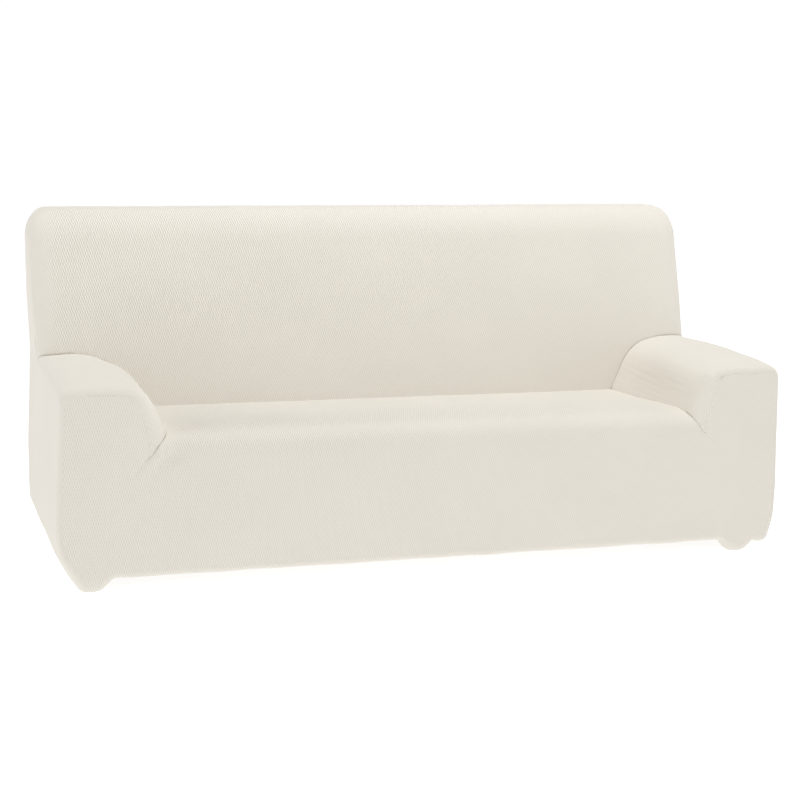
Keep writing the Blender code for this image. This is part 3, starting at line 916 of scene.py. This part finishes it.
def makeKnit(name):
    material = bpy.data.materials.new(name)
    material.use_nodes = True
    material.diffuse_color = knit["colour"]
    nodes, links = material.node_tree.nodes, material.node_tree.links
    shader = nodes["Principled BSDF"]
    shader.inputs["Roughness"].default_value = knit["roughness"]
    shader.inputs["Sheen Weight"].default_value = knit["sheen"]
    shader.inputs["Sheen Roughness"].default_value = knit["sheenRoughness"]

    def sums(kind, a, b=None):
        node = nodes.new("ShaderNodeMath")
        node.operation = kind
        for n, value in enumerate((a, b)):
            if isinstance(value, (int, float)):
                node.inputs[n].default_value = value
            elif value is not None:
                links.new(value, node.inputs[n])
        return node.outputs[0]

    def clouds(vector, scale, detail):
        node = nodes.new("ShaderNodeTexNoise")
        node.inputs["Scale"].default_value = scale
        node.inputs["Detail"].default_value = detail
        links.new(vector, node.inputs["Vector"])
        return node

    def separate(vector):
        node = nodes.new("ShaderNodeSeparateXYZ")
        links.new(vector, node.inputs[0])
        return node.outputs

    # cells in diamonds, from two sets of slanting ribs
    spot = nodes.new("ShaderNodeUVMap")
    spot.uv_map = "cloth"
    stray = clouds(spot.outputs["UV"], knit["wanderScale"], knit["wanderDetail"])
    spots, strays = separate(spot.outputs["UV"]), separate(stray.outputs["Color"])

    def cellAngle(axis, cell, wander):
        moved = sums("MULTIPLY", sums("SUBTRACT", strays[axis], 0.5), wander)
        return sums("MULTIPLY", sums("ADD", spots[axis], moved), 2 * math.pi / cell)

    u = cellAngle("X", knit["cellWide"], knit["wanderWide"])
    v = cellAngle("Y", knit["cellHigh"], knit["wanderHigh"])
    leaning = sums("MULTIPLY", sums("COSINE", sums("ADD", u, v)), knit["slant"])
    other = sums("MULTIPLY", sums("COSINE", sums("SUBTRACT", u, v)), 1.0 - knit["slant"])
    cells = sums("ADD", leaning, other)
    weave = nodes.new("ShaderNodeAttribute")
    weave.attribute_name = "weave"
    raised = sums("MULTIPLY", sums("MULTIPLY", cells, 0.5), weave.outputs["Fac"])
    height = sums("ADD", raised, 0.5)
    yarn = clouds(spot.outputs["UV"], knit["grainScale"], knit["grainDetail"])
    grain = sums("ADD", sums("MULTIPLY", yarn.outputs["Fac"], knit["grain"]), height)

    bump = nodes.new("ShaderNodeBump")
    bump.inputs["Distance"].default_value = knit["relief"]
    bump.inputs["Strength"].default_value = 1.0
    links.new(grain, bump.inputs["Height"])
    links.new(bump.outputs["Normal"], shader.inputs["Normal"])

    # painted shade: the colour runs from the darker hollows to the cloth's own colour on the raised
    # cells, by the height of the knit
    hollowShadeMix = nodes.new("ShaderNodeMix")
    hollowShadeMix.data_type = "RGBA"
    links.new(height, hollowShadeMix.inputs["Factor"])
    hollowShadeMix.inputs["A"].default_value = knit["hollow"]
    hollowShadeMix.inputs["B"].default_value = knit["colour"]
    tone = clouds(spot.outputs["UV"], knit["toneScale"], knit["toneDetail"])
    shade = sums("ADD", sums("MULTIPLY", tone.outputs["Fac"], knit["tone"]), 1.0 - knit["tone"] / 2)
    tint = nodes.new("ShaderNodeVectorMath")
    tint.operation = "SCALE"
    links.new(hollowShadeMix.outputs["Result"], tint.inputs[0])
    links.new(shade, tint.inputs["Scale"])
    links.new(tint.outputs[0], shader.inputs["Base Color"])
    return material


cloth = makeKnit("ivoryKnit")

# what each panel measures as cut, before it is stretched over the sofa: width, length, area
cuts = {
    "seat_front": (2.00, 1.05, 1.60),
    "inside_back": (2.05, 0.82, 1.52),
    "outside_back": (2.05, 0.88, 1.72),
    "arm_left": (0.60, 0.46, 0.225),
    "arm_right": (0.60, 0.46, 0.225),
    "side_left": (0.88, 0.88, 0.50),
    "side_right": (0.88, 0.88, 0.50),
}
for node, panel in panels.items():
    panel.data.materials.append(cloth)
    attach(panel, "root")
    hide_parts(node)
    width, length, area = cuts[node]
print("cloth laid on")


# floor, light and camera
studio = {
    "floorSize": 60.0,
    "floorColour": 0.45,
    "floorRoughness": 0.9,
    "floorGlow": 0.805,             # lifts the floor to the plain white of the photograph
    "horizon": 1.04,                # strength of the sky there, and overhead
    "zenith": 0.26,
    "skyZ": (0.10, 0.80),           # of the direction in which the sky is seen
    "lamps": (                      # name, place, aimed at, width, height, watts
        ("key", (2.2, -3.4, 3.2), (0.0, 0.4, 0.5), 3.0, 2.4, 5.0),
        ("top", (0.7, 0.1, 5.4), (0.0, 0.4, 0.5), 5.0, 3.2, 204.0),
        ("fill", (-5.0, 0.6, 1.8), (-1.0, 0.4, 0.5), 2.5, 2.0, 30.0),
    ),
}
white = (1.0, 1.0, 1.0, 1.0)


def makeFloor():
    bm = bmesh.new()
    bmesh.ops.create_grid(bm, x_segments=1, y_segments=1, size=studio["floorSize"] / 2)
    bmesh.ops.translate(bm, verts=bm.verts, vec=shift)
    mesh = bpy.data.meshes.new("floor")
    bm.to_mesh(mesh)
    bm.free()
    paint = bpy.data.materials.new("paleFloor")
    paint.use_nodes = True
    coat = paint.node_tree.nodes["Principled BSDF"]
    coat.inputs["Base Color"].default_value = (*[studio["floorColour"]] * 3, 1.0)
    coat.inputs["Roughness"].default_value = studio["floorRoughness"]
    coat.inputs["Specular IOR Level"].default_value = 0.0
    coat.inputs["Emission Color"].default_value = white
    coat.inputs["Emission Strength"].default_value = studio["floorGlow"]
    mesh.materials.append(paint)
    return addObject("floor", mesh)


def makeSky():
    world = bpy.data.worlds.new("studioSky")
    world.use_nodes = True
    nodes, links = world.node_tree.nodes, world.node_tree.links
    ahead = nodes.new("ShaderNodeTexCoord")
    split = nodes.new("ShaderNodeSeparateXYZ")
    links.new(ahead.outputs["Generated"], split.inputs[0])
    fade = nodes.new("ShaderNodeMapRange")
    fade.interpolation_type = "SMOOTHSTEP"
    fade.inputs["From Min"].default_value, fade.inputs["From Max"].default_value = studio["skyZ"]
    fade.inputs["To Min"].default_value = studio["horizon"]
    fade.inputs["To Max"].default_value = studio["zenith"]
    links.new(split.outputs["Z"], fade.inputs["Value"])
    nodes["Background"].inputs["Color"].default_value = white
    links.new(fade.outputs["Result"], nodes["Background"].inputs["Strength"])
    bpy.context.scene.world = world


def makeLamp(name, place, aim, width, height, watts):
    data = bpy.data.lights.new(name, "AREA")
    data.shape = "RECTANGLE"
    data.size, data.size_y = width, height
    data.energy = watts
    lamp = addObject(name, data)
    lamp.location = Vector(place) + shift
    lamp.rotation_mode = "QUATERNION"
    lamp.rotation_quaternion = (Vector(aim) - Vector(place)).to_track_quat("-Z", "Y")


photoCamera = {                     # fitted to the outline in the photograph of 800 x 800
    "place": (-1.4826, -4.5639, 1.444),
    "yaw": 16.633,                  # degrees to the right of +y
    "pitch": 11.133,                # degrees down
    "roll": 1.196,
    "focalPixels": 1754.3,
    "imagePixels": 800,
    "sensor": 36.0,
    "reach": 100.0,
}


def makeCamera():
    yaw, pitch, roll = (math.radians(photoCamera[k]) for k in ("yaw", "pitch", "roll"))
    ahead = Vector((math.sin(yaw) * math.cos(pitch), math.cos(yaw) * math.cos(pitch),
                    -math.sin(pitch)))
    level = Vector((math.cos(yaw), -math.sin(yaw), 0.0))
    up = level.cross(ahead)
    right = math.cos(roll) * level + math.sin(roll) * up
    top = -math.sin(roll) * level + math.cos(roll) * up
    turn = Matrix((right, top, -ahead)).transposed().to_4x4()
    data = bpy.data.cameras.new("photoCamera")
    data.sensor_width = photoCamera["sensor"]
    data.lens = photoCamera["sensor"] * photoCamera["focalPixels"] / photoCamera["imagePixels"]
    data.clip_end = photoCamera["reach"]
    camera = addObject("photoCamera", data)
    camera.matrix_world = Matrix.Translation(Vector(photoCamera["place"]) + shift) @ turn
    bpy.context.scene.camera = camera


floor = makeFloor()
makeSky()
for lamp in studio["lamps"]:
    makeLamp(*lamp)
makeCamera()
bpy.context.scene.view_settings.view_transform = "Standard"
print("floor, light and camera set")
